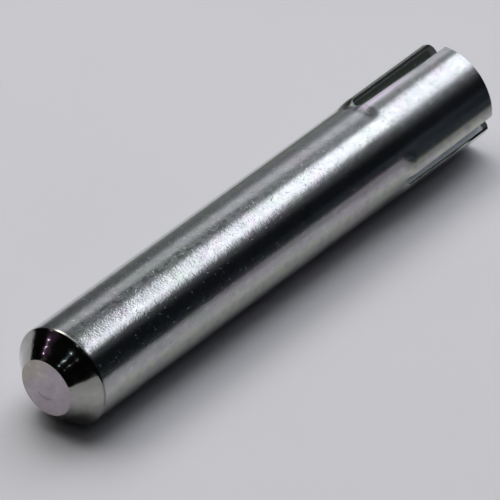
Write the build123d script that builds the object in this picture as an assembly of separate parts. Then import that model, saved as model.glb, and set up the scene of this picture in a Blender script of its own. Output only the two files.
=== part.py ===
from build123d import *

import os
from math import asin, atan2, degrees, radians, sin

# A plain steel pin with a wide chamfered point and three short press-fit grooves at its other end.
# The pin stands on its grooved end. Z is its axis, with z = 0 at the grooved end's face, and the
# first groove faces towards -X. Angles about the axis grow anticlockwise, seen from the point.
# The metal pressed out of a groove stands up beside it: high on one side, low on the other.

# Driving dimensions, in millimetres and degrees

pin_diameter = 6.0
pin_length = 36.0

point_length = 1.3
point_face_diameter = 3.4
point_shoulder_radius = 0.2
point_face_edge_radius = 0.06

groove_count = 3
first_groove_angle = 180.0
groove_length = 8.3
groove_run_out = 0.85
run_out_narrowing = 0.15
tail_root_radius = 2.10
far_root_radius = 2.34
groove_bottom_radius = 0.25

high_wall_lean = 31.0
low_wall_lean = 29.5
high_lip_height = 0.23
low_lip_height = 0.083
lip_rounding_radius = 0.04
raised_reach = 31.0
low_shelf = 8.0

tail_edge_radius = 0.45

# Derived sizes

pin_radius = pin_diameter / 2
high_lip_radius = pin_radius + high_lip_height
low_lip_radius = pin_radius + low_lip_height
groove_pitch = 360 / groove_count


def polar(radius, angle):
    """A point at a radius and an angle about the pin's axis, in the plane z = 0."""
    return Vector(radius, 0, 0).rotate(Axis.Z, angle)


def arc_about_axis(radius, start, end):
    """An arc about the pin's axis between two angles."""
    return ThreePointArc(*(polar(radius, angle) for angle in (start, (start + end) / 2, end)))


def raised_flank(start_radius, start, end_radius, end):
    """A soft flank between two circles about the axis, which leaves both of them without a corner."""
    ends = [polar(start_radius, start), polar(end_radius, end)]
    return Spline(*ends, tangents=[polar(1, angle + 90) for angle in (start, end)])


def lip_turn(root_radius, wall_lean, lip_radius):
    """The angle from a groove's root to its lip, for a wall that leans back from the root's radius."""
    return wall_lean - degrees(asin(root_radius * sin(radians(wall_lean)) / lip_radius))


def rounded(section, corners, radius):
    """The section with the vertices nearest to the given corners rounded."""
    return fillet([section.vertices().sort_by_distance(corner)[0] for corner in corners], radius)


def grooved_section(root_radius):
    """The section through the grooves.

    Each groove is a V with a round bottom. Going round from its root, the wall rises to the high lip,
    the raised metal sinks to the shank's own circle, and then it rises again to a level shelf that
    ends at the next groove's low lip.
    """
    high_turn = lip_turn(root_radius, high_wall_lean, high_lip_radius)
    low_turn = lip_turn(root_radius, low_wall_lean, low_lip_radius)
    outline = []
    roots = []
    lips = []
    for index in range(groove_count):
        root_angle = first_groove_angle + index * groove_pitch
        high_angle = root_angle + high_turn
        low_angle = root_angle + groove_pitch - low_turn
        plain_start = high_angle + raised_reach
        plain_end = low_angle - raised_reach
        shelf_start = low_angle - low_shelf
        root = polar(root_radius, root_angle)
        next_root = polar(root_radius, root_angle + groove_pitch)
        high_lip = polar(high_lip_radius, high_angle)
        low_lip = polar(low_lip_radius, low_angle)
        roots += [root]
        lips += [high_lip, low_lip]
        outline += [
            Line(root, high_lip),
            raised_flank(high_lip_radius, high_angle, pin_radius, plain_start),
            arc_about_axis(pin_radius, plain_start, plain_end),
            raised_flank(pin_radius, plain_end, low_lip_radius, shelf_start),
            arc_about_axis(low_lip_radius, shelf_start, low_angle),
            Line(low_lip, next_root),
        ]
    section = rounded(make_face(outline), roots, groove_bottom_radius)
    return rounded(section, lips, lip_rounding_radius)


def drawn_in(angle):
    """An angle beside a groove, moved towards the groove's middle by the run-out's narrowing."""
    offset = (angle - first_groove_angle + groove_pitch / 2) % groove_pitch - groove_pitch / 2
    return angle - offset * run_out_narrowing


def shank_section_beside(section):
    """The shank's circle, divided beside each corner of the grooved section, so that the two can join."""
    corners = section.face().outer_wire().vertices()
    angles = sorted(drawn_in(degrees(atan2(corner.Y, corner.X))) for corner in corners)
    ends = angles[1:] + [angles[0] + 360]
    return make_face([arc_about_axis(pin_radius, start, end) for start, end in zip(angles, ends)])


def grooved_length():
    """The grooved end: grooves that narrow from the end's face, then fade into the round shank."""
    tail = grooved_section(tail_root_radius)
    far = grooved_section(far_root_radius)
    sections = [
        tail,
        Pos(0, 0, groove_length - groove_run_out) * far,
        Pos(0, 0, groove_length) * shank_section_beside(far),
    ]
    return loft([section.face() for section in sections], ruled=True)


def tail_envelope():
    """A round blank as wide as the high lips, whose lower edge is rounded. It rounds the end's edge."""
    blank = Cylinder(high_lip_radius, pin_length, align=(Align.CENTER, Align.CENTER, Align.MIN))
    return fillet(blank.edges().sort_by(Axis.Z)[0], tail_edge_radius)


def shank():
    """The plain shank with its chamfered point, turned from a half profile."""
    point_start = pin_length - point_length
    face_radius = point_face_diameter / 2
    outline = Polyline(
        (0, 0, groove_length),
        (pin_radius, 0, groove_length),
        (pin_radius, 0, point_start),
        (face_radius, 0, pin_length),
        (0, 0, pin_length),
        close=True,
    )
    profile = make_face(outline)
    shoulder = profile.vertices().sort_by_distance((pin_radius, 0, point_start))[0]
    profile = fillet(shoulder, point_shoulder_radius)
    face_edge = profile.vertices().sort_by_distance((face_radius, 0, pin_length))[0]
    profile = fillet(face_edge, point_face_edge_radius)
    return revolve(profile, Axis.Z)


def grooved_pin():
    """The whole pin as one solid."""
    return shank() + (grooved_length() & tail_envelope())


os.makedirs("parts", exist_ok=True)
export_step(grooved_pin(), "parts/grooved_pin.step")
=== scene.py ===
"""Looks of a zinc-plated grooved pin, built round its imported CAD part.

The pin stands on its grooved end: its axis is Z, z = 0 is the grooved end's face, and the wide
chamfered point is at the top. The photograph shows the pin lying on a pale table, so the table is
an upright plane that the pin's side touches, and the camera is turned with it. Lengths named in the
classes are millimetres, and angles are degrees unless they say radians. MM turns lengths into the
scene's metres.
"""

import logging
import math
from dataclasses import dataclass, field
from enum import Enum

import bpy
import numpy as np
from mathutils import Matrix, Vector


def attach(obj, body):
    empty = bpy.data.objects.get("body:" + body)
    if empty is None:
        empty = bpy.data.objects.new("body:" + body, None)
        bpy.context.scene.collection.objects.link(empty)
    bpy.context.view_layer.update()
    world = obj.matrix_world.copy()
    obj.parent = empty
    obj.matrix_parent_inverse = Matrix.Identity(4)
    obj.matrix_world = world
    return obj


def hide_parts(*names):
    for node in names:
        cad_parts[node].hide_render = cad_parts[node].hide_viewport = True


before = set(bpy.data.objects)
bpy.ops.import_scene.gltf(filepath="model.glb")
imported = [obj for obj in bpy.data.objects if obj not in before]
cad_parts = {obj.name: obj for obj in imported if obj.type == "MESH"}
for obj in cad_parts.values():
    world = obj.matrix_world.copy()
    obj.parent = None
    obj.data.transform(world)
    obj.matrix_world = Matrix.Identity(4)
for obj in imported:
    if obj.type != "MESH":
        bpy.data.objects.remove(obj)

MM = 0.001
NODE = "grooved_pin"
BODY = "root"

# A direction, a place or a lamp's light; and a direction or a place in plan
Triple = tuple[float, float, float]
Pair = tuple[float, float]
Color = tuple[float, float, float, float]
# Where a smooth step starts and ends; it falls where the start is the larger one
Span = tuple[float, float]
# Where a value starts and ends, and its low and high result
Ramp = tuple[float, float, float, float]
# Two smooth steps, up and then down again
Band = tuple[float, float, float, float]
# Places, each with the number of even steps that lead up to it
Stops = tuple[tuple[float, int], ...]
# Pairs of an amount and the colour that it lays over what is below, the lowest layer first
Layers = list[tuple["Signal", Color]]
Values = float | np.ndarray

log = logging.getLogger("grooved_pin")


@dataclass(frozen=True)
class PinSizes:
    """The driving sizes that the pin's surface, its finish, the table and the lamps share."""

    radius: float = 3.0
    length: float = 36.0
    point_length: float = 1.3
    groove_count: int = 3
    first_groove: float = 180.0


PIN = PinSizes()


class Op(Enum):
    """The Math node operations that the materials use."""

    ADD = "ADD"
    SUBTRACT = "SUBTRACT"
    MULTIPLY = "MULTIPLY"
    DIVIDE = "DIVIDE"
    ABSOLUTE = "ABSOLUTE"
    ARCTAN2 = "ARCTAN2"
    MAXIMUM = "MAXIMUM"
    SQRT = "SQRT"
    SINE = "SINE"
    WRAP = "WRAP"


class Signal:
    """One output socket of a node tree. Python's operators on it add Math nodes."""

    def __init__(self, graph: "Graph", socket: bpy.types.NodeSocket) -> None:
        """Keeps the socket and the graph that it belongs to."""
        self.graph = graph
        self.socket = socket

    def __add__(self, other: "Signal | float") -> "Signal":
        """self + other."""
        return self.graph.math(Op.ADD, self, other)

    def __radd__(self, other: float) -> "Signal":
        """other + self."""
        return self.graph.math(Op.ADD, other, self)

    def __sub__(self, other: "Signal | float") -> "Signal":
        """self - other."""
        return self.graph.math(Op.SUBTRACT, self, other)

    def __rsub__(self, other: float) -> "Signal":
        """other - self."""
        return self.graph.math(Op.SUBTRACT, other, self)

    def __mul__(self, other: "Signal | float") -> "Signal":
        """self * other."""
        return self.graph.math(Op.MULTIPLY, self, other)

    def __rmul__(self, other: float) -> "Signal":
        """other * self."""
        return self.graph.math(Op.MULTIPLY, other, self)

    def __truediv__(self, other: "Signal | float") -> "Signal":
        """self / other."""
        return self.graph.math(Op.DIVIDE, self, other)

    def __abs__(self) -> "Signal":
        """abs(self)."""
        return self.graph.math(Op.ABSOLUTE, self)

    def step(self, start: float, end: float) -> "Signal":
        """A smooth step of this value.

        Args:
            start: where it is 0.
            end: where it is 1; it may be the smaller one.

        Returns:
            The step, from 0 to 1.
        """
        limits = {"Value": self, "From Min": min(start, end), "From Max": max(start, end)}
        settings = {"interpolation_type": "SMOOTHSTEP"}
        rise = self.graph.node("ShaderNodeMapRange", settings, limits)
        return rise if start < end else 1.0 - rise

    def band(self, *edges: float) -> "Signal":
        """1 between two smooth steps: up over the first two edges, down over the last two."""
        return self.step(edges[0], edges[1]) * self.step(edges[3], edges[2])

    def sides(self, start: float, end: float) -> "tuple[Signal, Signal]":
        """Two smooth steps, one for values above 0 and one for the same values below it."""
        return self.step(start, end), self.step(-start, -end)

    def ramp(self, start: float, end: float, low: float, high: float) -> "Signal":
        """A straight ramp from low at start to high at end, level outside them."""
        limits = {"Value": self, "From Min": start, "From Max": end, "To Min": low, "To Max": high}
        return self.graph.node("ShaderNodeMapRange", {}, limits)


class Graph:
    """Adds nodes to one material's or world's node tree."""

    def __init__(self, tree: bpy.types.NodeTree) -> None:
        """Starts on an emptied node tree."""
        self.tree = tree
        tree.nodes.clear()

    def node(self, kind: str, settings: dict, inputs: dict, output: int | str = 0) -> Signal:
        """Adds one node of any type.

        Args:
            kind: the node's type.
            settings: the node's own settings, set before its sockets.
            inputs: the sockets' values or links, by name or number.
            output: the output to return, by name or number.

        Returns:
            The chosen output.
        """
        made = self.tree.nodes.new(kind)
        for name, value in settings.items():
            setattr(made, name, value)
        for name, value in inputs.items():
            if isinstance(value, Signal):
                self.tree.links.new(value.socket, made.inputs[name])
            else:
                made.inputs[name].default_value = value
        outputs = made.outputs
        return Signal(self, outputs[output] if len(outputs) else made.inputs[0])

    def math(self, operation: Op, *values: "Signal | float") -> Signal:
        """Adds a Math node.

        Args:
            operation: what it does.
            values: its one to three operands.

        Returns:
            Its value.
        """
        return self.node("ShaderNodeMath", {"operation": operation.value}, dict(enumerate(values)))

    def vector_math(self, operation: str, first: Signal, second: "Signal | Triple") -> Signal:
        """Adds a Vector Math node and returns its vector.

        Args:
            operation: the node's operation.
            first: the first vector.
            second: the second vector.

        Returns:
            The resulting vector.
        """
        return self.node("ShaderNodeVectorMath", {"operation": operation}, {0: first, 1: second})

    def dot(self, first: Signal, second: Triple) -> Signal:
        """The dot product of a vector and a fixed one."""
        settings = {"operation": "DOT_PRODUCT"}
        return self.node("ShaderNodeVectorMath", settings, {0: first, 1: second}, output="Value")

    def parts(self, vector: Signal) -> tuple[Signal, Signal, Signal]:
        """Splits a vector.

        Args:
            vector: the vector.

        Returns:
            Its three numbers.
        """
        split = self.node("ShaderNodeSeparateXYZ", {}, {0: vector})
        outputs = split.socket.node.outputs
        return tuple(Signal(self, outputs[axis]) for axis in range(3))

    def polar(self, x: Signal, y: Signal) -> tuple[Signal, Signal]:
        """The radius and the angle in degrees of a point in a plane."""
        radius = self.math(Op.SQRT, x * x + y * y)
        return radius, self.math(Op.ARCTAN2, y, x) * math.degrees(1.0)

    def tint(self, amount: Signal, first: "Signal | Color", second: "Signal | Color") -> Signal:
        """A colour between two others: the first at amount 0, the second at 1."""
        settings = {"data_type": "RGBA"}
        return self.node("ShaderNodeMix", settings, {0: amount, 6: first, 7: second}, output=2)

    def scaled(self, amount: Signal, color: "Signal | Triple") -> Signal:
        """A colour times an amount."""
        grey = self.node("ShaderNodeCombineColor", {}, {0: amount, 1: amount, 2: amount})
        return self.vector_math("MULTIPLY", grey, color)

    def place(self) -> Signal:
        """The Object coordinates, in metres."""
        return self.node("ShaderNodeTexCoord", {}, {}, output="Object")

    def light_path(self, output: str) -> Signal:
        """One output of a Light Path node."""
        return self.node("ShaderNodeLightPath", {}, {}, output=output)


@dataclass(frozen=True)
class Grain:
    """A soft noise: its features to a unit of place, finer layers, seed and the place's stretch.

    The seed tells one noise from another.
    """

    scale: float
    detail: float
    seed: float
    stretch: Triple | None = None

    def read(self, place: Signal) -> Signal:
        """Adds the noise's nodes.

        Args:
            place: where it is read.

        Returns:
            The noise about 0, from about -0.5 to 0.5.
        """
        graph = place.graph
        if self.stretch:
            place = graph.vector_math("MULTIPLY", place, self.stretch)
        noise = graph.node(
            "ShaderNodeTexNoise",
            {"noise_dimensions": "4D"},
            {"Vector": place, "W": self.seed, "Scale": self.scale, "Detail": self.detail},
        )
        return noise - 0.5


@dataclass(frozen=True)
class Table:
    """The directions of the table that the pin lies on, and its pale top.

    Its dimming is painted shade: it says how far from the pin the table darkens in the pin's
    reflections.
    """

    up: Triple = (0.22806, -0.97364, 0.0)
    back: Triple = (0.97364, 0.22806, 0.0)
    along: Triple = (0.0, 0.0, -1.0)
    gap: float = PIN.radius + 0.001
    reach: float = 1000.0
    color: Color = (0.50, 0.50, 0.534, 1.0)
    far_reflected_shade: Color = (0.155, 0.175, 0.150, 1.0)
    roughness: float = 0.9
    shine: float = 0.2
    cloud: Grain = Grain(60.0, 2.0, 1.0)
    cloud_share: float = 0.05
    fibre: Grain = Grain(9000.0, 2.0, 2.0)
    fibre_depth: float = 0.004
    near_dimming: Span = (5.0, 15.0)
    near_share: float = 0.30
    far_dimming: Span = (17.0, 45.0)
    far_share: float = 0.62
    right_edge_lean: float = 1.34
    right_edge: Span = (-4.5, -10.0)
    front_dimming: Ramp = (6.0, 14.0, 0.0, 0.2)
    top_edge_lean: float = 0.8
    top_edge: Span = (-18.0, -26.0)

    @property
    def front(self) -> Triple:
        """The direction over the table towards the camera's side."""
        return tuple(-part for part in self.back)

    def direction(self, lengthwise: float, turn: float) -> Vector:
        """A direction over the table.

        Args:
            lengthwise: its part along the pin, towards the grooved end.
            turn: degrees about the pin, 0 level towards the camera, 90 straight up, 180 level
                behind, and negative below the table.

        Returns:
            The unit vector.
        """
        across = math.sqrt(1.0 - lengthwise**2)
        angle = math.radians(turn)
        rise = Vector(self.up) * (across * math.sin(angle))
        level = Vector(self.front) * (across * math.cos(angle))
        return Vector(self.along) * lengthwise + rise + level

    def build(self) -> bpy.types.Object:
        """Makes the table's top: one square, seen from above only.

        Returns:
            The top's object.
        """
        middle = np.array([0.0, 0.0, PIN.length / 2]) - np.array(self.up) * self.gap
        back, along = np.array(self.back) * self.reach, np.array(self.along) * self.reach
        signs = ((-1, -1), (-1, 1), (1, 1), (1, -1))
        corners = np.stack([middle + a * back + b * along for a, b in signs])
        mesh = bpy.data.meshes.new("table_top")
        mesh.from_pydata((corners * MM).tolist(), [], [(0, 1, 2, 3)])
        top = bpy.data.objects.new("table_top", mesh)
        bpy.context.scene.collection.objects.link(top)
        if mesh.polygons[0].normal.dot(Vector(self.up)) < 0:
            mesh.flip_normals()
        mesh.materials.append(self.paper())
        return top

    def paper(self) -> bpy.types.Material:
        """Makes the matt pale finish, clear from below and for a ray that has already crossed it.

        Returns:
            The material.
        """
        material = bpy.data.materials.new("pale_table")
        material.use_nodes = True
        graph = Graph(material.node_tree)
        place = graph.place()
        relief = {"Height": self.fibre.read(place), "Distance": self.fibre_depth * MM}
        matt = graph.node("ShaderNodeBsdfPrincipled", {}, {
            "Base Color": self.shade(place),
            "Roughness": self.roughness,
            "Normal": graph.node("ShaderNodeBump", {}, relief),
            "Specular IOR Level": self.shine,
        })
        clear = graph.node("ShaderNodeBsdfTransparent", {}, {})
        below = graph.node("ShaderNodeNewGeometry", {}, {}, output="Backfacing")
        unseen = graph.math(Op.MAXIMUM, below, graph.light_path("Transparent Depth"))
        both = graph.node("ShaderNodeMixShader", {}, {0: unseen, 1: matt, 2: clear})
        graph.node("ShaderNodeOutputMaterial", {}, {"Surface": both})
        return material

    def shade(self, place: Signal) -> Signal:
        """The top's colour, slightly cloudy.

        In the pin's reflections it has painted shade: it darkens with the distance, and more so
        past the picture's right edge. Past the picture's top edge they show a dark far colour,
        painted shade.

        Args:
            place: the Object coordinates.

        Returns:
            The colour.
        """
        graph = place.graph
        nearer = graph.dot(place, self.front) * (1.0 / MM)
        height = graph.parts(place)[2] * (1.0 / MM)
        mirrored = graph.light_path("Is Glossy Ray")
        aside = (height - nearer * self.right_edge_lean).step(*self.right_edge)
        dim = nearer.step(*self.near_dimming) * self.near_share
        dim = dim + nearer.step(*self.far_dimming) * self.far_share
        front_dim = nearer.ramp(*self.front_dimming)
        light = self.cloud.read(place) * self.cloud_share + 1.0
        light = light * (1.0 - dim * aside * mirrored) * (1.0 - front_dim * mirrored)
        # Painted shade: past the picture's top edge the reflections take the dark far colour.
        beyond = (height + nearer * self.top_edge_lean).step(*self.top_edge) * mirrored
        return graph.scaled(light, graph.tint(beyond, self.color, self.far_reflected_shade))


@dataclass(frozen=True)
class Studio:
    """The soft light: a broad light over the table's far side, dim walls behind, a dark front.

    Turns are degrees about the pin, and reaches are a direction's part along it, both as
    Table.direction has them.
    """

    table: Table
    backdrop: Color = (0.565, 0.565, 0.597, 1.0)
    dark: Triple = (0.0025, 0.0024, 0.0025)
    # The rim, at which the broad light ends and the wall behind it begins
    rim_turn: Ramp = (0.537, 0.698, 76.8, 104.0)
    rim_drop: Span = (0.634, 0.604)
    rim_drop_turn: float = 17.0
    rim_swell: Band = (0.618, 0.632, 0.650, 0.664)
    rim_swell_turn: float = 3.0
    # The broad light: its lower edge, that edge's softness, and its strength along the pin
    soft_light: Triple = (2.68, 2.79, 2.93)
    edge_turns: tuple[Ramp, Ramp] = ((0.606, 0.632, 54.2, 63.4), (0.632, 0.665, 0.0, 7.6))
    edge_softness: Ramp = (0.650, 0.664, 6.0, 13.0)
    foot_turns: Span = (31.8, 57.8)
    foot_share: float = 0.05
    light_rim: Span = (6.5, -7.5)
    light_start: Span = (0.46, 0.572)
    light_levels: tuple[Ramp, ...] = (
        (0.600, 0.632, 0.83, 1.08),
        (0.638, 0.662, 1.0, 0.70),
        (0.665, 0.671, 1.0, 1.22),
    )
    # The wall behind, and a paler patch on it
    wall: Triple = (0.385, 0.405, 0.415)
    wall_start: Span = (-0.14, -0.02)
    wall_rim: Span = (-8.0, 8.0)
    wall_level: Ramp = (0.603, 0.660, 0.40, 1.28)
    wall_foot: Span = (146.0, 162.0)
    wall_foot_share: float = 0.4
    wall_patch: Triple = (0.39, 0.39, 0.41)
    patch_turns: Band = (117.0, 130.0, 138.0, 152.0)
    # A faint haze past the point, and a bright window over the shank with its halo
    haze: Triple = (0.040, 0.022, 0.042)
    haze_turns: Band = (128.0, 142.0, 146.0, 158.0)
    haze_start: Span = (-0.36, -0.46)
    blaze: Triple = (3.2, 3.1, 2.9)
    blaze_turns: Band = (108.0, 120.0, 129.0, 139.0)
    halo_turns: Band = (68.0, 110.0, 118.0, 130.0)
    halo_share: float = 0.2
    blaze_reach: Band = (-0.44, -0.30, 0.40, 0.52)
    # The gloom past the grooved end, which grows close to the table, and the fill from above
    gloom: Triple = (0.0065, 0.0085, 0.0105)
    gloom_start: Span = (0.0, 0.4)
    low_reaches: tuple[Span, Span] = ((0.650, 0.660), (0.600, 0.570))
    low_turns: Span = (13.0, 6.0)
    low_gain: float = 8.0
    fill: Triple = (0.20, 0.20, 0.205)
    fill_reach: Band = (-0.5, -0.4, 0.42, 0.50)
    fill_turns: Band = (44.0, 70.0, 92.0, 112.0)
    # Below the table: a light, and a wall with a dark core
    under_start: Span = (0.0, -4.0)
    under_light: Triple = (1.6, 1.62, 1.66)
    counter_turns: Band = (-126.0, -112.0, -84.0, -72.0)
    under_wall: Triple = (0.46, 0.46, 0.47)
    core_turns: Band = (-66.0, -56.0, -30.0, -18.0)
    core_share: float = 0.85

    def build(self) -> bpy.types.World:
        """Makes the world: its light depends on the turn about the pin and the reach along it.

        Returns:
            The world.
        """
        world = bpy.data.worlds.new("studio")
        bpy.context.scene.world = world
        world.use_nodes = True
        graph = Graph(world.node_tree)
        ray = graph.node("ShaderNodeTexCoord", {}, {}, output="Generated")
        turn = graph.polar(graph.dot(ray, self.table.front), graph.dot(ray, self.table.up))[1]
        glow = self.dark
        for amount, light in self.lights(turn, graph.dot(ray, self.table.along)):
            glow = graph.vector_math("ADD", graph.scaled(amount, light), glow)
        color = graph.tint(graph.light_path("Is Camera Ray"), glow, self.backdrop)
        sky = graph.node("ShaderNodeBackground", {}, {"Color": color, "Strength": 1.0})
        graph.node("ShaderNodeOutputWorld", {}, {"Surface": sky})
        return world

    def lights(self, turn: Signal, reach: Signal) -> list[tuple[Signal, Triple]]:
        """The parts of the world's light.

        Args:
            turn: the turn about the pin.
            reach: the direction's part along the pin.

        Returns:
            Pairs of an amount and the light that it scales.
        """
        rim = turn - reach.ramp(*self.rim_turn)
        rim = rim + reach.step(*self.rim_drop) * self.rim_drop_turn
        rim = rim - reach.band(*self.rim_swell) * self.rim_swell_turn
        walled = reach.step(*self.wall_start)
        halo = turn.band(*self.halo_turns) * self.halo_share
        blaze = turn.band(*self.blaze_turns) + halo
        under = turn.step(*self.under_start)
        core = turn.band(*self.core_turns) * self.core_share
        return [
            (self.broad_amount(turn, reach, rim), self.soft_light),
            (self.wall_amount(turn, reach, rim) * walled, self.wall),
            (turn.band(*self.patch_turns) * walled, self.wall_patch),
            (turn.band(*self.haze_turns) * reach.step(*self.haze_start), self.haze),
            (blaze * reach.band(*self.blaze_reach), self.blaze),
            (self.gloom_amount(turn, reach), self.gloom),
            (reach.band(*self.fill_reach) * turn.band(*self.fill_turns), self.fill),
            (under * turn.band(*self.counter_turns), self.under_light),
            (under * (1.0 - core), self.under_wall),
        ]

    def broad_amount(self, turn: Signal, reach: Signal, rim: Signal) -> Signal:
        """How much of the broad light a direction has, between its lower edge and the rim.

        Args:
            turn: the turn about the pin.
            reach: the direction's part along the pin.
            rim: the turn past the rim.

        Returns:
            The amount.
        """
        edge = reach.ramp(*self.edge_turns[0]) + reach.ramp(*self.edge_turns[1])
        inside = ((turn - edge) / reach.ramp(*self.edge_softness)).step(-1.0, 1.0)
        amount = inside * (1.0 - self.foot_share)
        amount = amount + turn.step(*self.foot_turns) * self.foot_share
        amount = amount * rim.step(*self.light_rim) * reach.step(*self.light_start)
        for level in self.light_levels:
            amount = amount * reach.ramp(*level)
        return amount

    def wall_amount(self, turn: Signal, reach: Signal, rim: Signal) -> Signal:
        """How much of the wall's light a direction past the rim has."""
        foot = 1.0 - turn.step(*self.wall_foot) * self.wall_foot_share
        return rim.step(*self.wall_rim) * reach.ramp(*self.wall_level) * foot

    def gloom_amount(self, turn: Signal, reach: Signal) -> Signal:
        """How much of the gloom a direction has, which grows close to the table.

        Args:
            turn: the turn about the pin.
            reach: the direction's part along the pin.

        Returns:
            The amount.
        """
        ends = reach.step(*self.low_reaches[0]) + reach.step(*self.low_reaches[1])
        low = ends * turn.step(*self.low_turns)
        return reach.step(*self.gloom_start) * (1.0 + low * self.low_gain)


@dataclass(frozen=True)
class Lamp:
    """One oval lamp, aimed at a height on the pin's axis; the pin may be told not to mirror it."""

    name: str
    lengthwise: float
    turn: float
    distance: float
    width: float
    power: float
    color: Triple = (1.0, 1.0, 1.0)
    aim: float = PIN.length / 2
    stretch: float = 1.0
    mirrored: bool = True

    def build(self, table: Table) -> bpy.types.Object:
        """Makes the lamp.

        Args:
            table: it gives the directions.

        Returns:
            The lamp's object.
        """
        data = bpy.data.lights.new(self.name, "AREA")
        data.shape = "ELLIPSE"
        data.size = self.width * MM
        data.size_y = self.width * self.stretch * MM
        data.energy = self.power
        data.color = self.color
        lamp = bpy.data.objects.new(self.name, data)
        bpy.context.scene.collection.objects.link(lamp)
        away = table.direction(self.lengthwise, self.turn)
        lamp.location = (Vector((0.0, 0.0, self.aim)) + away * self.distance) * MM
        across = Vector(table.along).cross(away).normalized()
        lamp.rotation_euler = Matrix((across, away.cross(across), away)).transposed().to_euler()
        lamp.visible_glossy = self.mirrored
        return lamp


@dataclass(frozen=True)
class GlintLamp(Lamp):
    """A very small lamp that the chamfer mirrors as a bright dot."""

    aim: float = PIN.length - 0.7


@dataclass(frozen=True)
class Camera:
    """The photograph's camera: a long lens, high over the table, beside the chamfered point."""

    place: Triple = (-117.976, -224.109, 226.551)
    aim: Triple = (-0.214, 0.671, 18.534)
    lens: float = 425.18
    sensor: float = 36.0
    clip: Pair = (10.0, 10000.0)

    def build(self, table: Table) -> bpy.types.Object:
        """Makes the camera, level with the table.

        Args:
            table: its upward direction is the camera's.

        Returns:
            The camera's object.
        """
        data = bpy.data.cameras.new("camera")
        data.lens = self.lens
        data.sensor_width = self.sensor
        data.clip_start, data.clip_end = (distance * MM for distance in self.clip)
        camera = bpy.data.objects.new("camera", data)
        bpy.context.scene.collection.objects.link(camera)
        back = (Vector(self.place) - Vector(self.aim)).normalized()
        right = Vector(table.up).cross(back).normalized()
        up = back.cross(right)
        turn = Matrix((right, up, back)).transposed().to_4x4()
        camera.matrix_world = Matrix.Translation(Vector(self.place) * MM) @ turn
        bpy.context.scene.camera = camera
        return camera


@dataclass(frozen=True)
class Spot:
    """Where a point of the pin's surface lies.

    The first four are millimetres and the angle about the axis is degrees. The others, but for the
    graph, are shares from 0 to 1: how much the point belongs to a part of the pin.
    """

    graph: Graph
    place: Signal
    east: Signal
    north: Signal
    height: Signal
    angle: Signal
    chamfer: Signal
    face: Signal
    lower_side: Signal
    hollow: Signal
    crest: Signal
    shelf: Signal
    mouth: Signal


@dataclass(frozen=True)
class PinParts:
    """Where the parts of the pin begin and end. Offsets are degrees from a groove's middle."""

    chamfer_start: float = PIN.length - PIN.point_length - 0.05
    chamfer_blend: float = 0.05
    face_start: float = PIN.length - 0.03
    face_blend: float = 0.02
    lower_side: Span = (-1.0, -2.0)
    groove_end: Span = (8.25, 7.75)
    hollow_radii: Span = (2.998, 2.965)
    hollow_heights: Band = (0.35, 0.65, 8.1, 8.5)
    crest_radii: Span = (3.03, 3.08)
    crest_offsets: Span = (0.0, 3.0)
    shelf_offsets: Band = (-17.5, -13.5, -5.0, -4.0)
    mouth_offsets: Band = (-9.0, -7.5, 13.0, 17.0)
    mouth_heights: Band = (7.7, 7.95, 8.5, 8.9)
    mouth_radii: Span = (3.0, 2.98)

    def spot(self, graph: Graph) -> Spot:
        """Finds where the shaded point lies.

        The crest is a high lip, the shelf is the metal beside a low one, and the mouth is a
        groove's end at the shank. All three are marked only on the upper side, as the pin lies.

        Args:
            graph: where its nodes go.

        Returns:
            The point's place and parts.
        """
        place = graph.vector_math("MULTIPLY", graph.place(), (1.0 / MM,) * 3)
        east, north, height = graph.parts(place)
        radius, angle = graph.polar(east, north)
        half_pitch = 180.0 / PIN.groove_count
        offset = graph.math(Op.WRAP, angle - PIN.first_groove, half_pitch, -half_pitch)
        lower_side = east.step(*self.lower_side)
        grooved = height.step(*self.groove_end) * (1.0 - lower_side)
        mouth = height.band(*self.mouth_heights) * radius.step(*self.mouth_radii)
        crest = radius.step(*self.crest_radii) * offset.step(*self.crest_offsets)
        return Spot(
            graph, place, east, north, height, angle,
            chamfer=height.step(self.chamfer_start, self.chamfer_start + self.chamfer_blend),
            face=height.step(self.face_start, self.face_start + self.face_blend),
            lower_side=lower_side,
            hollow=radius.step(*self.hollow_radii) * height.band(*self.hollow_heights),
            crest=crest * grooved,
            shelf=offset.band(*self.shelf_offsets) * grooved,
            mouth=mouth * offset.band(*self.mouth_offsets) * (1.0 - lower_side),
        )


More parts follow.
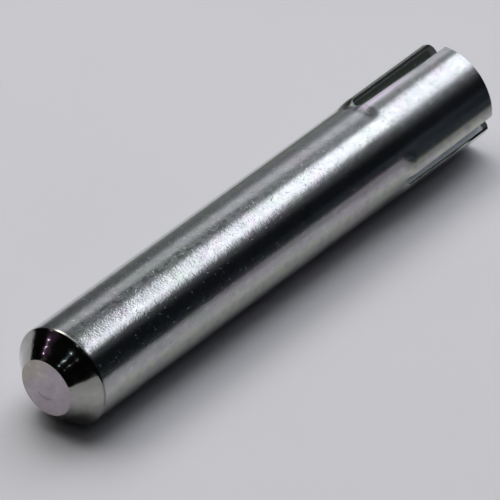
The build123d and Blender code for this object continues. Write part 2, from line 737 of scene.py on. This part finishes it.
@dataclass(frozen=True)
class Relief:
    """The surface's fine unevenness, with depths in millimetres.

    Fine lines run round the shank: noise that changes fast along it and slowly round it. Orange
    peel and specks lie over them, and turned rings on the chamfer.
    """

    lines: Grain = Grain(1.0, 3.0, 3.0, stretch=(1.0, 1.0, 7.5))
    peel: Grain = Grain(1.0, 3.0, 4.0, stretch=(2.0, 2.0, 1.2))
    grain: Grain = Grain(8.0, 2.0, 5.0)
    specks: Grain = Grain(4.4, 1.0, 10.0)
    speck_edge: Span = (0.15, 0.22)
    rougher: Ramp = (7.0, 25.0, 0.38, 1.0)
    line_depth: float = 0.0014
    shank_grain: float = 0.0038
    shank_peel: float = 0.0080
    speck_height: float = 0.006
    ring_pitch: float = 0.72
    ring_wander: Grain = Grain(0.9, 2.0, 6.0)
    ring_wander_share: float = 4.0
    ring_depth: float = 0.0080
    ring_angles: Span = (-140.0, -120.0)
    faint_ring_share: float = 0.2
    chamfer_grain: float = 0.0012
    face_grain: float = 0.002
    face_peel: float = 0.003
    scratch_depth: float = 0.006

    def height(self, spot: Spot, scratch: Signal) -> Signal:
        """The surface's height over its plain shape.

        Args:
            spot: where the point lies.
            scratch: the share of the scratch.

        Returns:
            The height in millimetres.
        """
        grain, peel = self.grain.read(spot.place), self.peel.read(spot.place)
        specks = self.specks.read(spot.place).step(*self.speck_edge)
        shank = self.lines.read(spot.place) * self.line_depth + grain * self.shank_grain
        shank = shank + peel * self.shank_peel + specks * self.speck_height
        shank = shank * spot.height.ramp(*self.rougher) * (1.0 - spot.chamfer)
        wander = self.ring_wander.read(spot.place) * self.ring_wander_share
        rings = spot.height * (2 * math.pi / self.ring_pitch) + wander
        clearer = spot.angle.step(*self.ring_angles) * (1.0 - self.faint_ring_share)
        chamfer = spot.graph.math(Op.SINE, rings) * self.ring_depth
        chamfer = chamfer * (self.faint_ring_share + clearer)
        chamfer = (chamfer + grain * self.chamfer_grain) * spot.chamfer * (1.0 - spot.face)
        face = (grain * self.face_grain + peel * self.face_peel) * spot.face
        return shank + chamfer + face - scratch * self.scratch_depth


@dataclass(frozen=True)
class ZincPlate:
    """Bright zinc plate over ground steel, clear passivated, with its fine marks."""

    parts: PinParts = PinParts()
    relief: Relief = Relief()
    # The plate itself: soft pink and green tints, flecks of both, pits, and clouds
    metal: Color = (0.41, 0.415, 0.425, 1.0)
    pink: Color = (0.44, 0.385, 0.43, 1.0)
    green: Color = (0.375, 0.41, 0.37, 1.0)
    warm_patches: Grain = Grain(0.5, 3.0, 7.0)
    cool_patches: Grain = Grain(0.6, 3.0, 8.0)
    patch_edge: Span = (0.0, 0.14)
    pink_share: float = 0.75
    green_share: float = 0.65
    flecks: Grain = Grain(3.0, 2.0, 11.0)
    fleck_edge: Span = (0.06, 0.16)
    fleck_share: Ramp = (6.0, 20.0, 0.2, 0.5)
    pit: Color = (0.16, 0.15, 0.15, 1.0)
    pits: Grain = Grain(4.2, 2.0, 12.0)
    pit_edge: Span = (0.12, 0.2)
    pit_share: float = 0.3
    shade: Color = (0.27, 0.285, 0.30, 1.0)
    gleam: Color = (0.58, 0.58, 0.59, 1.0)
    clouds: Grain = Grain(2.2, 4.0, 15.0, stretch=(1.0, 1.0, 0.6))
    cloud_edge: Span = (0.02, 0.2)
    cloud_share: float = 0.45
    # A strip of darker blotches along the shank
    strip_dark: Color = (0.10, 0.12, 0.13, 1.0)
    strip_angle: float = -86.5
    strip_wander: Grain = Grain(0.8, 2.0, 13.0)
    strip_wander_turn: float = 9.0
    strip_edge: Span = (6.0, 2.0)
    strip_share: Ramp = (12.0, 24.0, 0.2, 1.0)
    blotches: Grain = Grain(1.3, 3.0, 14.0, stretch=(3.0, 3.0, 1.8))
    blotch_edge: Span = (-0.02, 0.1)
    strip_dark_share: float = 0.55
    # The point: a beige, mottled chamfer, and a warmer face with straw on one side
    beige: Color = (0.370, 0.378, 0.340, 1.0)
    face_tint: Color = (0.39, 0.325, 0.37, 1.0)
    face_share: float = 0.7
    straw: Color = (0.385, 0.345, 0.255, 1.0)
    straw_side: Pair = (0.88, -0.47)
    straw_edge: Span = (0.2, 1.5)
    straw_share: float = 0.7
    mottle: Grain = Grain(2.2, 4.0, 16.0)
    mottle_edge: Span = (0.0, 0.2)
    moss_and_sheen: Color = (0.48, 0.50, 0.41, 1.0)
    moss_share: float = 0.55
    rose: Color = (0.33, 0.275, 0.30, 1.0)
    rose_share: float = 0.7
    # The grooves and the shank's front side: a painted lilac highlight on the shelf, mottled moss
    # that is partly painted light, painted light in the lower groove's bluish hollow, and painted
    # shade in the other grooves' olive hollows, on the high crests and at the mouths
    lilac_sheen: Color = (0.82, 0.70, 0.86, 1.0)
    lilac_sheen_share: Ramp = (2.5, 6.0, 0.05, 0.85)
    sheen_side: Span = (-2.78, -2.95)
    sheen_edge: Span = (-0.12, 0.08)
    sheen_share: float = 0.95
    lower_hollow_light: Color = (0.90, 0.95, 1.0, 1.0)
    olive_hollow_shade: Color = (0.16, 0.18, 0.15, 1.0)
    crest_shade: Color = (0.10, 0.115, 0.09, 1.0)
    crest_shade_share: float = 0.9
    mouth_shade: Color = (0.05, 0.056, 0.047, 1.0)
    # The seam at the chamfer's start, and the scratch on the face: a short arc beside the axis
    seam_edge: Span = (0.09, 0.04)
    seam_angles: Span = (-132.0, -140.0)
    seam_share: float = 0.8
    scratch_color: Color = (0.08, 0.07, 0.07, 1.0)
    scratch_centre: Pair = (0.02, 0.04)
    scratch_radius: float = 0.70
    scratch_edge: Span = (0.035, 0.012)
    scratch_angles: Band = (46.0, 60.0, 122.0, 140.0)
    scratch_share: float = 0.75
    # How rough the plate is, and its clear coat
    roughness: float = 0.130
    rough_patches: Grain = Grain(1.4, 3.0, 9.0)
    rough_patch_share: float = 0.08
    chamfer_polish: float = 0.020
    hollow_roughness: float = 0.25
    tail_heights: Span = (9.0, 6.5)
    tail_roughness: float = 0.04
    coat: float = 0.5
    coat_roughness: float = 0.1

    def build(self) -> bpy.types.Material:
        """Makes the material.

        Returns:
            The material.
        """
        material = bpy.data.materials.new("zinc_plate")
        material.use_nodes = True
        graph = Graph(material.node_tree)
        spot = self.parts.spot(graph)
        scratch = self.scratch(spot)
        mottle = self.mottle.read(spot.place)
        layers = self.plating(spot) + self.point_tints(spot, mottle)
        layers += self.groove_tints(spot, mottle) + self.marks(spot, scratch)
        color = self.metal
        for amount, tint in layers:
            color = graph.tint(amount, color, tint)
        relief = {"Height": self.relief.height(spot, scratch), "Distance": MM}
        plate = graph.node("ShaderNodeBsdfPrincipled", {}, {
            "Base Color": color,
            "Metallic": 1.0,
            "Roughness": self.rough(spot),
            "Coat Weight": self.coat,
            "Coat Roughness": self.coat_roughness,
            "Normal": graph.node("ShaderNodeBump", {}, relief),
        })
        graph.node("ShaderNodeOutputMaterial", {}, {"Surface": plate})
        return material

    def plating(self, spot: Spot) -> Layers:
        """The tints of the plate itself and its strip of dark blotches.

        Args:
            spot: where the point lies.

        Returns:
            The layers.
        """
        warmth = self.warm_patches.read(spot.place).step(*self.patch_edge)
        cool = self.cool_patches.read(spot.place).step(*self.patch_edge)
        pink_fleck, green_fleck = self.flecks.read(spot.place).sides(*self.fleck_edge)
        flecked = spot.height.ramp(*self.fleck_share)
        pits = self.pits.read(spot.place).step(*self.pit_edge)
        dull, bright = self.clouds.read(spot.place).sides(*self.cloud_edge)
        wander = self.strip_wander.read(spot.place) * self.strip_wander_turn
        strip = abs(spot.angle - self.strip_angle + wander).step(*self.strip_edge)
        strip = strip * spot.height.ramp(*self.strip_share) * (1.0 - spot.chamfer)
        blotches = self.blotches.read(spot.place).step(*self.blotch_edge)
        return [
            (warmth * self.pink_share, self.pink),
            (cool * self.green_share, self.green),
            (pink_fleck * flecked, self.pink),
            (green_fleck * flecked, self.green),
            (pits * self.pit_share, self.pit),
            (dull * self.cloud_share, self.shade),
            (bright * self.cloud_share, self.gleam),
            (strip * blotches * self.strip_dark_share, self.strip_dark),
        ]

    def point_tints(self, spot: Spot, mottle: Signal) -> Layers:
        """The tints of the chamfer and the point's face.

        Args:
            spot: where the point lies.
            mottle: the noise of the mottling.

        Returns:
            The layers.
        """
        aside = spot.east * self.straw_side[0] + spot.north * self.straw_side[1]
        mossy, rosy = mottle.sides(*self.mottle_edge)
        return [
            (spot.chamfer * (1.0 - spot.face), self.beige),
            (spot.face * self.face_share, self.face_tint),
            (spot.face * aside.step(*self.straw_edge) * self.straw_share, self.straw),
            (mossy * spot.chamfer * self.moss_share, self.moss_and_sheen),
            (rosy * spot.chamfer * self.rose_share, self.rose),
        ]

    def groove_tints(self, spot: Spot, mottle: Signal) -> Layers:
        """The tints of the grooves, the raised metal and the shank's front side, mostly painted
        light and shade.

        Args:
            spot: where the point lies.
            mottle: the noise of the mottling.

        Returns:
            The layers.
        """
        # Mottled moss, partly the plate's own tint and partly painted light that lifts this side's
        # reflection.
        lower_sheen = spot.east.step(*self.sheen_side) * (1.0 - spot.chamfer)
        lower_sheen = lower_sheen * mottle.step(*self.sheen_edge)
        return [
            # Painted highlight in the plate's lilac hue on the shelf beside the low lips.
            (spot.shelf * spot.height.ramp(*self.lilac_sheen_share), self.lilac_sheen),
            (lower_sheen * self.sheen_share, self.moss_and_sheen),
            # Painted light: the lower groove's hollow is made pale and bluish.
            (spot.hollow * spot.lower_side, self.lower_hollow_light),
            # Painted shade: the other grooves' hollows are made dark olive.
            (spot.hollow * (1.0 - spot.lower_side), self.olive_hollow_shade),
            # Painted shade on the high lips' crests.
            (spot.crest * self.crest_shade_share, self.crest_shade),
            # Painted shade where each groove's end meets the shank.
            (spot.mouth, self.mouth_shade),
        ]

    def marks(self, spot: Spot, scratch: Signal) -> Layers:
        """The seam at the chamfer's start, and the scratch.

        Args:
            spot: where the point lies.
            scratch: the share of the scratch.

        Returns:
            The layers.
        """
        seam = abs(spot.height - self.parts.chamfer_start).step(*self.seam_edge)
        seam = seam * spot.angle.step(*self.seam_angles)
        return [
            (seam * self.seam_share, self.pit),
            (scratch * self.scratch_share, self.scratch_color),
        ]

    def scratch(self, spot: Spot) -> Signal:
        """The hairline scratch on the point's face: a short arc about a centre beside the axis.

        Args:
            spot: where the point lies.

        Returns:
            Its share, 1 on the scratch and 0 off it.
        """
        x, y = spot.east - self.scratch_centre[0], spot.north - self.scratch_centre[1]
        radius, angle = spot.graph.polar(x, y)
        line = abs(radius - self.scratch_radius).step(*self.scratch_edge)
        return line * angle.band(*self.scratch_angles) * spot.face

    def rough(self, spot: Spot) -> Signal:
        """How rough the plate is: patchy, finer on the chamfer, coarser in the grooves below.

        Args:
            spot: where the point lies.

        Returns:
            The roughness.
        """
        rough = self.rough_patches.read(spot.place) * self.rough_patch_share + self.roughness
        rough = rough - spot.chamfer * self.chamfer_polish
        rough = rough + spot.hollow * spot.lower_side * self.hollow_roughness
        return rough + spot.height.step(*self.tail_heights) * self.tail_roughness


def spaced(stops: Stops) -> np.ndarray:
    """Values from the first stop to the last one, in even steps between each two stops.

    Args:
        stops: pairs of a value and the number of steps that lead up to it.

    Returns:
        The values.
    """
    values, steps = zip(*stops)
    ends = np.cumsum(steps)
    return np.interp(np.arange(ends[-1] + 1), ends, values)


@dataclass(frozen=True)
class PinBody:
    """The pin itself, as one closed surface."""

    finish: ZincPlate
    radius: float = PIN.radius
    length: float = PIN.length
    point_length: float = PIN.point_length
    face_radius: float = 1.7
    shoulder_radius: float = 0.2
    face_edge_radius: float = 0.06
    chamfer_hollow: float = 0.02
    groove_count: int = PIN.groove_count
    first_groove: float = PIN.first_groove
    high_lean: float = 31.0
    low_lean: float = 29.5
    tail_corner: float = 2.10
    far_corner: float = 2.34
    groove_length: float = 7.45
    bottom_softness: float = 0.9
    high_lip: float = 0.23
    low_lip: float = 0.083
    high_softness: float = 0.03
    low_softness: float = 0.05
    low_taper: float = 0.3
    bead_reach: float = 31.0
    low_shelf: float = 8.0
    groove_fade: Span = (7.4, 8.3)
    high_bead_fade: Span = (7.2, 8.4)
    low_bead_fade: Span = (7.45, 8.45)
    tail_edge_radius: float = 0.45
    edge_break: float = 0.04
    crease_angle: float = 32.0
    # The columns beside a groove's middle, in radians, and the rows up the side. They lie close
    # together at the lips and at the grooves' ends.
    high_columns: Stops = ((0.0, 0), (0.135, 12), (0.215, 31), (0.70, 21))
    low_columns: Stops = ((0.0, 0), (0.085, 8), (0.155, 25), (0.65, 21))
    last_columns: int = 6
    side_rows: Stops = (
        (0.8, 0), (6.8, 11), (6.9, 1), (8.0, 33), (8.15, 1), (9.5, 11), (10.0, 1), (34.3, 37),
    )
    face_rows: int = 14
    break_rows: int = 6
    tail_edge_rows: int = 16
    shoulder_rows: int = 9
    chamfer_rows: int = 16
    face_edge_rows: int = 7

    @property
    def half_pitch(self) -> float:
        """Half the angle from one groove's middle to the next one's, in radians."""
        return math.pi / self.groove_count

    @property
    def lip_circle(self) -> float:
        """The radius of the circle that the high lips reach."""
        return self.radius + self.high_lip

    def groove_share(self, height: np.ndarray) -> np.ndarray:
        """0 at the grooved end's face and 1 at the grooves' far end, in a straight line."""
        return np.clip(height / self.groove_length, 0.0, 1.0)

    def corner(self, height: np.ndarray) -> np.ndarray:
        """The radius at which a groove's walls would meet, in a straight line from end to end."""
        return self.tail_corner + (self.far_corner - self.tail_corner) * self.groove_share(height)

    def wall(self, turn: np.ndarray, lean: float, corner: np.ndarray) -> np.ndarray:
        """One groove wall as a radius.

        It leaves the corner q leaning b, so at angle t it is q sin b / sin(b - t). Past the lean
        the difference is held at a small angle.

        Args:
            turn: angles from the groove's corner, in radians.
            lean: how far the wall leans.
            corner: the radius of the corner.

        Returns:
            The radii.
        """
        slope, least = math.radians(lean), 0.02
        return corner * math.sin(slope) / np.sin(np.maximum(slope - turn, least))

    def floor(self, turn: np.ndarray, corner: np.ndarray) -> np.ndarray:
        """The groove as a radius: the greater of its two walls, rounded where they meet.

        Args:
            turn: signed angles from the groove's corner, in radians.
            corner: the radius at which the two walls would meet.

        Returns:
            The radii.
        """
        high = self.wall(turn, self.high_lean, corner)
        low = self.wall(-turn, self.low_lean, corner)
        return np.maximum(high, low) + self.rounding(high - low, self.bottom_softness)

    def bead(self, turn: np.ndarray, height: np.ndarray) -> np.ndarray:
        """The metal raised beside the grooves, as a radius.

        On each side it rises from the groove's middle to its lip's height and then sinks to the
        shank, both in a smooth step; on the low side a level shelf lies between them. Along the pin
        it fades out in a smooth step.

        Args:
            turn: signed angles from the groove's corner, in radians.
            height: heights on the axis.

        Returns:
            The radii.
        """
        total = self.radius
        sides = (
            (1, self.high_lip, self.high_lean, 0.0, 0.0, self.high_bead_fade),
            (-1, self.low_lip, self.low_lean, self.low_shelf, self.low_taper, self.low_bead_fade),
        )
        for side, lip, lean, shelf, taper, run_out in sides:
            slope = math.radians(lean)
            edge = slope - np.arcsin(self.corner(height) * math.sin(slope) / (self.radius + lip))
            beyond = np.degrees(side * turn - edge)
            top = lip * (1.0 + taper * (0.5 - self.groove_share(height)))
            top = top * (1.0 - self.fade(side * turn, 0.0, edge))
            top = top * self.fade(beyond, shelf, self.bead_reach)
            total = total + top * self.fade(height, *run_out)
        return total

    def rounding(self, gap: np.ndarray, soft: Values) -> np.ndarray:
        """What rounds the meeting of two surfaces that lie a gap g apart: (s - g)^2 / 4 s."""
        return np.maximum(soft - np.abs(gap), 0.0) ** 2 / (4 * soft)

    def fade(self, height: np.ndarray, start: float, end: float) -> np.ndarray:
        """1 below start and 0 above end, in a smooth step between them: 1 - t^2 (3 - 2 t)."""
        t = np.clip((height - start) / (end - start), 0.0, 1.0)
        return 1.0 - t * t * (3.0 - 2.0 * t)

    def turns(self) -> np.ndarray:
        """The angles about the axis at which the surface has a column.

        Returns:
            The angles, in radians, once round.
        """
        last = (self.half_pitch, self.last_columns)
        high = spaced(self.high_columns + (last,))
        low = spaced(self.low_columns + (last,))
        sector = np.concatenate([-low[::-1], high[1:-1]])
        starts = 2 * self.half_pitch * np.arange(self.groove_count)
        starts = math.radians(self.first_groove) + starts
        return (starts[:, None] + sector[None, :]).ravel()

    def row(
        self, height: Values, limit: Values, factor: Values = 1.0, inset: Values = 0.0
    ) -> np.ndarray:
        """Rows of the surface, one a line.

        Args:
            height: the heights.
            limit: the greatest radii allowed there.
            factor: a factor on the radius.
            inset: how far the surface is drawn in.

        Returns:
            The four values of each row, as columns.
        """
        return np.stack(np.broadcast_arrays(height, limit, factor, inset), axis=1)

    def rows(self) -> np.ndarray:
        """The surface's rows from the grooved end's middle to the point's middle.

        Returns:
            One line a row: height, limit, factor, inset.
        """
        scale = np.linspace(0.0, 1.0, self.face_rows)[1:-1]
        inner = self.lip_circle - self.tail_edge_radius
        point = self.point_profile()
        return np.concatenate([
            self.row(0.0, inner, scale, self.edge_break),
            self.broken_edge(),
            self.side(),
            self.row(point[:, 0], point[:, 1]),
            self.row(self.length, point[-1, 1], scale[::-1]),
        ])

    def broken_edge(self) -> np.ndarray:
        """The rows of the tail's broken edge e, a quarter circle: e - e sin high, e - e cos in.

        Returns:
            The rows.
        """
        quarter = np.linspace(math.pi / 2, 0.0, self.break_rows)
        heights = self.edge_break * (1 - np.sin(quarter))
        inset = self.edge_break * (1 - np.cos(quarter))
        return self.row(heights, self.tail_limit(heights), inset=inset)

    def side(self) -> np.ndarray:
        """The rows of the tail's rounded edge r, of heights r - r cos, and of the shank.

        Returns:
            The rows.
        """
        bow = np.linspace(0.0, math.pi / 2, self.tail_edge_rows)[1:]
        heights = self.tail_edge_radius * (1 - np.cos(bow))
        heights = heights[heights > self.edge_break]
        heights = np.concatenate([heights, spaced(self.side_rows)])
        return self.row(heights, self.tail_limit(heights))

    def tail_limit(self, height: np.ndarray) -> np.ndarray:
        """The lip circle, rounded at the tail by a quarter circle: sqrt(r^2 - (r - height)^2).

        Args:
            height: heights on the axis.

        Returns:
            The greatest radius at each height.
        """
        left = np.clip(self.tail_edge_radius - height, 0.0, None)
        bow = np.sqrt(self.tail_edge_radius**2 - left**2)
        return self.lip_circle - self.tail_edge_radius + bow

    def point_profile(self) -> np.ndarray:
        """The chamfered point as heights and radii.

        The shoulder and the face's edge are arcs between the shank, the chamfer and the face, and
        the chamfer is hollow by a parabola, 4 h s (1 - s) at share s.

        Returns:
            One line a point: height, radius.
        """
        slope = math.atan2(self.radius - self.face_radius, self.point_length)
        arc = np.linspace(0.0, slope, self.shoulder_rows)
        start = self.length - self.point_length - self.shoulder_radius * math.tan(slope / 2)
        shoulder = np.stack([
            start + self.shoulder_radius * np.sin(arc),
            self.radius - self.shoulder_radius * (1 - np.cos(arc)),
        ], axis=1)
        tip = np.linspace(slope, math.pi / 2, self.face_edge_rows)
        edge = self.face_edge_radius
        pulled = self.face_radius - edge * math.tan((math.pi / 2 - slope) / 2)
        rim = np.stack([
            self.length - edge * (1 - np.sin(tip)),
            pulled + edge * np.cos(tip),
        ], axis=1)
        share = np.linspace(0.0, 1.0, self.chamfer_rows)[1:-1, None]
        cone = shoulder[-1] + share * (rim[0] - shoulder[-1])
        hollow = 4 * self.chamfer_hollow * share * (1 - share)
        cone = cone - hollow * np.array([[math.sin(slope), math.cos(slope)]])
        return np.concatenate([shoulder, cone, rim])

    def surface(self) -> np.ndarray:
        """The whole surface as points: one row a height and one column an angle.

        The radius is the lesser of the raised metal and the groove, rounded where they meet, and
        both fade into the plain shank. It is then limited by the row's own limit.

        Returns:
            An array of rows by columns by three, in millimetres.
        """
        turns, rows = self.turns(), self.rows()
        height, limit, factor, inset = (rows[:, [part]] for part in range(4))
        first, pitch = math.radians(self.first_groove), 2 * self.half_pitch
        offset = (turns - first + self.half_pitch) % pitch - self.half_pitch
        offset = offset[None, :]
        corner = self.corner(height)
        lift = self.lip_circle - corner + self.low_softness
        land = self.bead(offset, height)
        floor = self.floor(offset, corner) + (1.0 - self.fade(height, *self.groove_fade)) * lift
        soft = np.where(offset > 0.0, self.high_softness, self.low_softness)
        radius = np.minimum(land, floor) - self.rounding(land - floor, soft)
        radius = np.minimum(radius, limit) * factor - inset * factor
        return np.stack([
            radius * np.cos(turns), radius * np.sin(turns), height + 0 * radius], axis=2)

    def build(self) -> bpy.types.Object:
        """Makes the pin's mesh, closed at both ends by a pole, and dresses it.

        Returns:
            The pin's object.
        """
        points = self.surface()
        count, around = points.shape[:2]
        grid = np.arange(count * around).reshape(count, around)
        nxt = np.roll(grid, -1, axis=1)
        quads = np.stack([grid[:-1], nxt[:-1], nxt[1:], grid[1:]], axis=2).reshape(-1, 4)
        bottom, top = count * around, count * around + 1
        lower = np.stack([nxt[0], grid[0], np.full(around, bottom)], axis=1)
        upper = np.stack([grid[-1], nxt[-1], np.full(around, top)], axis=1)
        poles = np.array([[0.0, 0.0, 0.0], [0.0, 0.0, self.length]])
        places = np.concatenate([points.reshape(-1, 3), poles]) * MM
        mesh = bpy.data.meshes.new("pin_body")
        mesh.from_pydata(places.tolist(), [], quads.tolist() + lower.tolist() + upper.tolist())
        mesh.polygons.foreach_set("use_smooth", np.ones(len(mesh.polygons), dtype=bool))
        mesh.set_sharp_from_angle(angle=math.radians(self.crease_angle))
        mesh.update()
        pin = bpy.data.objects.new("pin_body", mesh)
        bpy.context.scene.collection.objects.link(pin)
        mesh.materials.append(self.finish.build())
        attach(pin, BODY)
        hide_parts(NODE)
        return pin


@dataclass
class Scene:
    """Everything in the picture: the pin, the table under it, the light and the camera."""

    table: Table = field(default_factory=Table)
    camera: Camera = field(default_factory=Camera)
    pin: PinBody = field(default_factory=lambda: PinBody(finish=ZincPlate()))
    lamps: tuple[Lamp, ...] = (
        Lamp("top_lamp", lengthwise=0.34, turn=106.0, distance=600.0, width=640.0, power=2.80,
             stretch=1.12, mirrored=False),
        GlintLamp("glint_lamp_a", lengthwise=-0.765, turn=85.0, distance=500.0, width=18.0,
                  power=0.0045, color=(0.85, 1.0, 1.15)),
        GlintLamp("glint_lamp_b", lengthwise=-0.792, turn=61.9, distance=500.0, width=12.0,
                  power=0.0009),
        GlintLamp("glint_lamp_c", lengthwise=-0.485, turn=147.4, distance=500.0, width=22.0,
                  power=0.0085, color=(1.0, 0.7, 1.1)),
    )

    def build(self) -> None:
        """Builds every part in order and logs each one."""
        pin = self.pin.build()
        log.info("%s: %d faces", pin.name, len(pin.data.polygons))
        log.info("%s", self.table.build().name)
        log.info("world %s", Studio(self.table).build().name)
        for lamp in self.lamps:
            log.info("%s", lamp.build(self.table).name)
        log.info("%s", self.camera.build(self.table).name)
        bpy.context.scene.view_settings.view_transform = "Standard"


def main() -> None:
    """Builds the scene."""
    logging.basicConfig(level=logging.INFO, format="%(name)s: %(message)s")
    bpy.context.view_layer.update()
    Scene().build()


if __name__ == "__main__":
    main()
